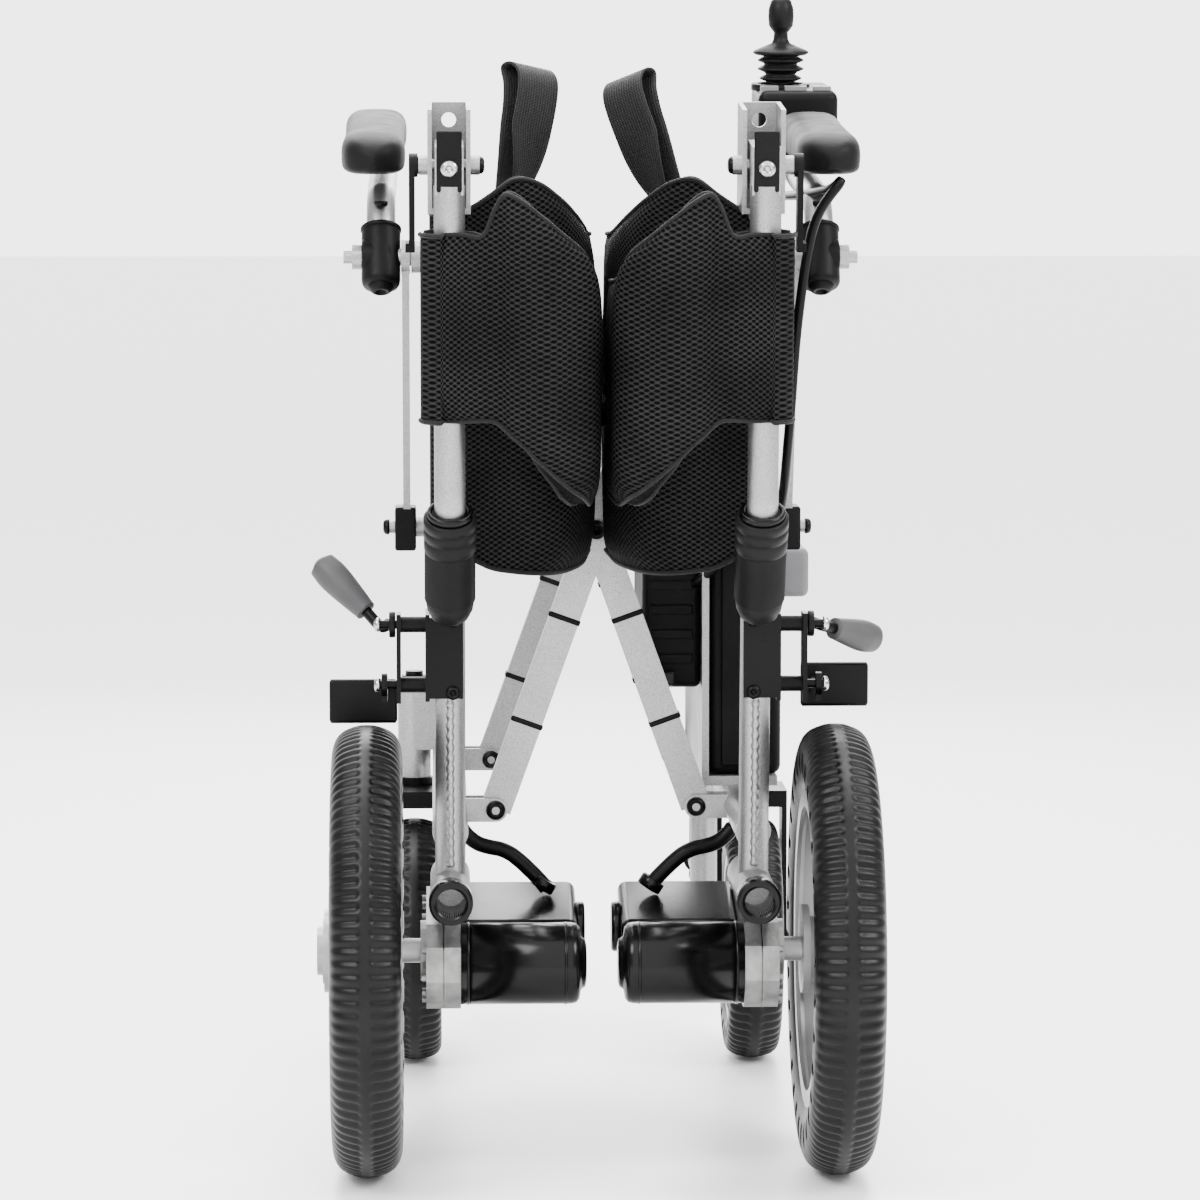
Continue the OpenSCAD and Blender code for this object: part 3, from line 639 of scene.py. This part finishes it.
def arm_post(side, s):
    """Bent armrest tube with its pivot clamp."""
    body = side + "_arm"
    pivot = Vector((s * (SIDE + 47 * MM), ARM_PIVOT.y, ARM_PIVOT.z))
    lean = math.radians(27)
    up = Vector((0, math.sin(lean), math.cos(lean)))
    start = pivot + up * 20 * MM
    heads = [math.radians(63 - (63 - 5) * k / 8) for k in range(9)]
    centre = start + up * 2.2 * MM + Vector((0, math.sin(heads[0]), -math.cos(heads[0]))) * 40 * MM
    bend = [centre + Vector((0, -math.sin(h), math.cos(h))) * 40 * MM for h in heads]
    run = Vector((0, math.cos(TILT), math.sin(TILT)))
    line = [start] + bend + [bend[-1] + run * d * MM for d in (20, 80, 160, 233)]
    post = tube(side + "_arm_tube", line, 10, "silver", body, 28, 4)
    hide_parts(side + "_arm_post")
    tube(side + "_arm_clamp", [pivot - up * 22 * MM, pivot - up * 10 * MM, pivot + up * 10 * MM,
                               pivot + up * 22 * MM],
         lambda t: 13.5 - 1.5 * (abs(2 * t - 1) ** 12), "black", body, 36, 6)
    revolve(side + "_arm_clamp_barrel", rounded(12.5, -7, 13, 1.2), pivot, (s, 0, 0), "black", body)
    revolve(side + "_arm_clamp_nut", rounded(6.5, 13, 20, 1.0), pivot, (s, 0, 0), "coat", body,
            6)
    ring(side + "_arm_clamp_lip", pivot + up * 21 * MM, up, 10, 14.2, 3, body)
    bolt(side + "_arm_clamp_end", pivot - up * 22 * MM, -up, 9, body, "black")


for side, s in SIDES:
    arm_pad(side, s)
    arm_post(side, s)
    block(side + "_strut_clamp", (23.5, 77, 431), (38.5, 109, 462), 2, "black", side + "_side",
          partial(at, s))
    bolt(side + "_strut_screw", at(s, 44, 93, 447), (s, 0, 0), 5.5, side + "_side", "coat")


# ---- grips and hinges ----
def grip(side, s):
    """Cup-shaped hand grip: smooth collar with two grooves, then a fine-ribbed barrel and round end."""
    node = side + "_grip"
    turn = math.radians(22)
    centre = (UPPER_Y + 34 - 34 * math.cos(turn), 288 - 34 * math.sin(turn))
    start = on_cane(s, 0, centre[0], centre[1])
    tip = on_cane(s, 0, centre[0] + math.sin(turn), centre[1] - math.cos(turn))
    profile = [(11, 7), (13, 3), (16.6, 1.5), (18, 2.5), (18, 9), (17.2, 9.8), (18, 10.6), (17.9, 17),
               (17.1, 17.8),
               (17.8, 18.6), (17.7, 26)]
    profile += [(17.4 - 1.3 * (k % 2), 27.5 + k * 1.4) for k in range(30)]
    profile += [(16.5, 69), (15.6, 75), (13, 81), (8, 85.5), (3, 86.6)]
    obj = revolve(side + "_ribbed_grip", profile, start, tip - start, "grip", side + "_backrest",
                  72)
    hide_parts(node)
    ring(side + "_grip_mouth", start + (tip - start) * 5 * MM, tip - start, 10.6, 15.5, 6,
         side + "_backrest", "gloss")


for side, s in SIDES:
    grip(side, s)
    back = side + "_backrest"
    block(side + "_hinge_cover", (-8.5, UPPER_Y - 9, 494), (8.5, UPPER_Y - 6, 535), 1.5, "black", back,
          partial(on_cane, s))
    bolt(side + "_hinge_screw", on_cane(s, 0, UPPER_Y - 9, 510), on_cane(s, 0, -1, 0) - on_cane(s, 0, 0, 0),
         6, back)
    for k, x in enumerate((-20.5, 20.5)):
        bolt(f"{side}_hinge_nut_{k}", on_cane(s, x, -32, 508), (s * math.copysign(1, x), 0, 0), 6,
             side + "_side",
             "coat")


# ---- drive ----
def motor(side, s):
    """Gear motor: turned can, brake housing and bridge."""
    body = side + "_side"
    centre = at(s, 0, -6, 149)
    can = revolve(side + "_motor_can", [(0, 7), (28.4, 7), (28.4, 84), (27.6, 87.4), (25, 89.6), (19, 90.6),
                                        (17.5, 92), (16.8, 93.6), (13, 94.6), (0, 94.6)],
                  centre, (-s, 0, 0), "gloss", body, 96)
    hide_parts(side + "_motor")
    for k, x in enumerate((12, 80)):
        ring(f"{side}_motor_band_{k}", at(s, -x, -6, 149), (1, 0, 0), 27, 28.9, 2.4, body, "gloss",
             96)
    block(side + "_motor_brake", (-90, 42, 132), (-7, 131, 184), 6, "gloss", body,
          lambda x, y, z: at(s, x, y, z - (0 if z < 150 else 18 * max(0, (100 - y) / 60) - 4)))
    revolve(side + "_motor_brake_cap", rounded(18, 89, 96, 2.5), at(s, 0, 88, 160), (-s, 0, 0), "gloss",
            body)
    block(side + "_motor_bridge", (-78, 14, 138), (-12, 46, 158), 3, "gloss", body,
          partial(at, s))


LEAD = [(-8, 100, 230), (-13, 99, 224), (-20, 98, 219), (-28, 97, 216.5), (-36, 96, 215), (-43, 95, 212),
        (-49, 95, 207.5), (-55, 95, 202), (-61, 95, 196), (-66, 95, 190.5), (-69, 95, 186.5)]
for side, s in SIDES:
    motor(side, s)
    lead = tube(side + "_motor_lead", [at(s, *p) for p in LEAD], 5.5, "jacket", side + "_side",
                20, 4)
    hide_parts(side + "_motor_cable")
    ring(side + "_lead_gland", at(s, -67, 95, 190), (0.55, 0, 0.84), 5, 9, 8, side + "_side", "gloss")
    ring(side + "_socket_lip", at(s, 0, -67.5, 202), (0, 1, 0), 10, 15.2, 23, side + "_side", "gloss")


# ---- joystick lead and welds ----
route = [on_arm(1, -6, 246, 70), on_arm(1, -16, 190, 30), on_arm(1, -14, 90, 34), on_arm(1, 4, -14, 48),
         at(1, 58, -16, 692), at(1, 40, -14, 662), at(1, 30, -6, 597), at(1, 25, 8, 520), at(1, 22, 40, 466),
         at(1, 16, 92, 427), at(1, -4, 134, 424), at(1, -26, 166, 404), at(1, -34, 186, 396)]
joystick_lead = tube("joystick_lead", route, 3.4, "jacket", None, 16, 8)
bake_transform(joystick_lead)
for side, s in SIDES:
    tube(side + "_foot_weld", [on_cane(s, 0, -10.4, 18 + 22 * k) for k in range(7)],
         lambda t: 2.6 + 0.5 * math.sin(t * 110), "silver", side + "_side", 14, 14)


# ---- brakes ----
def brake(side, s):
    """Hand lever with a soft grip, its rod, bolts and shoe pad."""
    pivot = Vector(joints[side + "_brake_pull"]["pos_m"])
    body = side + "_brake_lever"
    tip = at(s, 86, 30, 422) if s < 0 else at(s, 84, 42, 372)
    base = at(s, 48, 8, 384)
    grip_run = tip - base
    handle = tube(side + "_brake_grip", [base + grip_run * t for t in (0.27, 0.4, 0.6, 0.8, 0.95, 1.16)],
                  lambda t: 7.6 + 3.6 * math.sin(math.pi * min(1, t * 0.9) ** 1.5) if t < 0.93
                  else 8.5 * math.sqrt(max(0.02, (1 - t) / 0.07)), "lever", body, 28, 8)
    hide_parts(side + "_brake_lever")
    tube(side + "_brake_rod", [pivot + Vector((0, 0.010, 0)), base, base + grip_run * 0.3], 4, "coat", body,
         16, 6)
    revolve(side + "_brake_boss", rounded(9, -4.2, 0.2, 0.8), pivot, (s, 0, 0), "coat", body)
    for k, z in enumerate((344, 386)):
        bolt(f"{side}_brake_nut_{k}", at(s, 50, 0, z), (s, 0, 0), 5, side + "_side", "steel")
        bolt(f"{side}_brake_bolt_{k}", at(s, -2, -36, z + (6 if z > 360 else -2)), (0, -1, 0), 5,
             side + "_side", "coat")
    shoe_z = 311 if s < 0 else 322
    block(side + "_brake_pad", (37, 52.5, shoe_z), (85, 59, shoe_z + 31), 2.4, "coat", side + "_brake_shoe",
          partial(at, s))


for side, s in SIDES:
    brake(side, s)


# ---- joystick ----
def joystick():
    """Stick with bellows on the control case."""
    body = "right_arm"
    case = block("joystick_case", (-28, 240, 63), (31, 331, 97), 7, "black", body,
                 partial(on_arm, 1), 4)
    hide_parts("joystick_box")
    block("joystick_bracket", (-10, 212, 43), (10, 276, 64), 2, "black", body,
          partial(on_arm, 1))
    up = on_arm(1, 0, 0, 1) - on_arm(1, 0, 0, 0)
    ring("joystick_collar", STICK - up * 6.5, up, 17, 22, 5, body)
    rings = []
    for k, (r, h) in enumerate(((16, 0), (17.5, 7), (17.5, 13.5))):
        rings += [(r - 5, h - 2.5), (r - 1, h - 0.9), (r, h), (r - 1, h + 0.9), (r - 5, h + 2.8)]
    profile = [(4, -4.5)] + rings + [(19, 17.5), (21, 19), (20, 20.5), (13, 23.5), (7, 26), (5.5, 29),
                                     (5.2, 34), (7, 36), (9, 39), (9.6, 46), (9.2, 52), (7.4, 57.5),
                                  (4, 60), (0, 60.6)]
    boot = revolve("joystick_boot", profile, STICK, up, "grip", "stick", 64)
    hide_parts("joystick_stick")
    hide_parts("joystick_gimbal")


joystick()


# ---- housings ----
def row_mm(x, y, z):
    """Millimetres in the row frame."""
    return Vector((x, y, z)) * MM


def housing(name, node, edge, body):
    """Rounded case in place of a boxed node."""
    low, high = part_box(node)
    obj = block(name, low / MM, high / MM, edge, "black", body, row_mm)
    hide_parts(node)
    return low / MM, high / MM


low, high = housing("control_case", "control_box", 5, "right_side")
for k in range(4):
    z = low.z + 18 + 18 * k
    block(f"control_fin_{k}", (low.x + 6, low.y - 2.2, z), (high.x - 6, low.y + 2, z + 7), 1, "black",
          "right_side",
          row_mm)
block("control_plug", (low.x + 8, low.y - 9, low.z + 2), (low.x + 24, low.y + 3, low.z + 13), 2, "gloss",
      "right_side",
      row_mm)
b_low, b_high = (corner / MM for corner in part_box("battery_pack"))
case = block("battery_case", b_low, (b_low.x + 52, b_high.y, b_high.z), 6, "black", "right_side",
             row_mm)
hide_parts("battery_pack")
for k in range(3):
    y = b_low.y + 40 + 60 * k
    block(f"battery_rib_{k}", (b_low.x + 49, y, b_low.z + 20), (b_low.x + 54, y + 34, b_high.z - 24), 2,
          "black",
          "right_side", row_mm)
block("battery_latch", (b_high.x - 24, b_low.y + 26, b_high.z - 38), (b_high.x, b_low.y + 82, b_high.z - 2),
      5, "key",
      "right_side", row_mm)
block("battery_edge", (b_low.x + 8, b_low.y - 3, b_low.z + 6), (b_low.x + 44, b_low.y + 3, b_high.z - 8), 2,
      "black",
      "right_side", row_mm)


# ---- footplates ----
for side, s in SIDES:
    body = side + "_footplate"
    plate = block(side + "_foot_tread", (-4, 652, 116), (4, 780, 211), 3, "black", body,
                  partial(at, s))
    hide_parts(side + "_footplate")
    for k in range(7):
        block(f"{side}_foot_rib_{k}", (-5.6, 660 + 16 * k, 124), (-3.4, 666 + 16 * k, 205), 1, "black", body,
              partial(at, s))
    for k, y in enumerate((664, 768)):
        revolve(f"{side}_foot_knuckle_{k}", rounded(10.4, -12, 12, 1.5, 7.2), at(s, 0, y, 112), (0, 1, 0),
                "black",
                body)


# ---- cross brace details ----
def brace_details():
    """Ties round the bars, and bolts at their pivots."""
    low_pivot = Vector(joints["fold"]["pos_m"])
    mid = Vector(joints["brace_cross"]["pos_m"])
    run = mid - low_pivot
    angle = math.atan2(run.x, run.z)
    for name, s in (("brace_a", 1), ("brace_b", -1)):
        for j, row in enumerate((130, 430)):
            y = AXLE_Y + (row - s * 8) * MM
            turn = Matrix.Rotation(s * angle, 3, "Y")
            for k, along in enumerate((-150, -70, 60)):
                block(f"{name}_tie_{j}_{k}", (-12, -7.6, along), (12, 7.6, along + 4), 1.2, "black", name,
                      lambda x, v, z, y=y, turn=turn: Vector((0, y, mid.z)) + turn @ Vector((x, v, z)) * MM)
            foot = Vector((-s * abs(low_pivot.x), y - 12 * MM, low_pivot.z))
            bolt(f"{name}_foot_bolt_{j}", foot, (0, -1, 0), 7, "left_side" if s > 0 else "right_side",
                 "coat")
            pin = Vector((0, AXLE_Y + (row - 17) * MM, mid.z))
            if s < 0:
                bolt(f"{name}_middle_bolt_{j}", pin, (0, -1, 0), 7, "brace_b", "coat")


brace_details()


# ---- finish of the CAD nodes that stay ----
def finish_node(node, material):
    """Gives a CAD node that stays visible its material."""
    data = nodes[node].data
    data.materials.clear()
    data.materials.append(MATERIALS[material])


for side, s in SIDES:
    for part, material in (("frame", "silver"), ("upper_cane", "silver"), ("gearbox", "cast"),
                           ("arm_strut", "silver"),
                           ("brake_mount", "coat"), ("brake_shoe", "coat"), ("fork", "coat"),
                           ("rear_rim", "alloy"),
                           ("caster_rim", "alloy"), ("hinge_lock", "black")):
        finish_node(f"{side}_{part}", material)
for node, material in (("brace_a", "silver"), ("brace_b", "silver"), ("power_button", "key"),
                       ("horn_button", "key"),
                       ("speed_rocker", "key")):
    finish_node(node, material)


# ---- stage, lights and camera ----
def stage():
    """Pale floor, soft sky that is darker to the sides, and four lamps."""
    data = bpy.data.meshes.new("floor")
    data.from_pydata([(-30, -30, 0), (30, -30, 0), (30, 30, 0), (-30, 30, 0)], [], [(0, 1, 2, 3)])
    mat, tree, shader = new_material("floor_white")
    shader.inputs["Base Color"].default_value = (0.98, 0.98, 0.98, 1)
    shader.inputs["Roughness"].default_value = 0.35
    data.materials.append(mat)
    floor = bpy.data.objects.new("floor", data)
    bpy.context.scene.collection.objects.link(floor)
    world = bpy.data.worlds.new("studio")
    world.use_nodes = True
    tree = world.node_tree
    sky = tree.nodes["Background"]
    way = add(tree, "ShaderNodeSeparateXYZ")
    tree.links.new(add(tree, "ShaderNodeTexCoord").outputs["Generated"], way.inputs["Vector"])
    across = add(tree, "ShaderNodeMath", operation="ABSOLUTE")
    tree.links.new(way.outputs["X"], across.inputs[0])
    tree.links.new(ramp(tree, across.outputs["Value"], [(0.3, 1.0), (0.55, 0.3), (0.9, 0.25)]),
                   sky.inputs["Color"])
    sky.inputs["Strength"].default_value = 4.2
    bpy.context.scene.world = world
    for name, place, size, power in (("key", (-1.6, -2.0, 2.4), 1.2, 110),
                                     ("rim", (1.8, -1.2, 1.9), 1.0, 80),
                                     ("top", (0, 0.4, 2.6), 1.6, 90), ("front", (0, 2.4, 1.5), 1.5, 50)):
        lamp = bpy.data.lights.new(name, "AREA")
        lamp.energy = power
        lamp.size = size
        obj = bpy.data.objects.new(name, lamp)
        obj.location = place
        obj.rotation_euler = (Vector((0, 0, 0.45)) - Vector(place)).to_track_quat("-Z", "Y").to_euler()
        bpy.context.scene.collection.objects.link(obj)


def camera():
    """The photo is taken from behind, a little above the seat."""
    data = bpy.data.cameras.new("camera")
    data.lens = 149.7
    data.sensor_width = 36
    data.clip_end = 50
    obj = bpy.data.objects.new("camera", data)
    obj.location = (-0.115, AXLE_Y - 3.45, 0.714)
    yaw = math.atan2(0.115, 3.45) - math.radians(0.02)
    obj.rotation_euler = (math.radians(90 - 5.153), 0, -yaw)
    bpy.context.scene.collection.objects.link(obj)
    bpy.context.scene.camera = obj


stage()
camera()
bpy.context.view_layer.update()
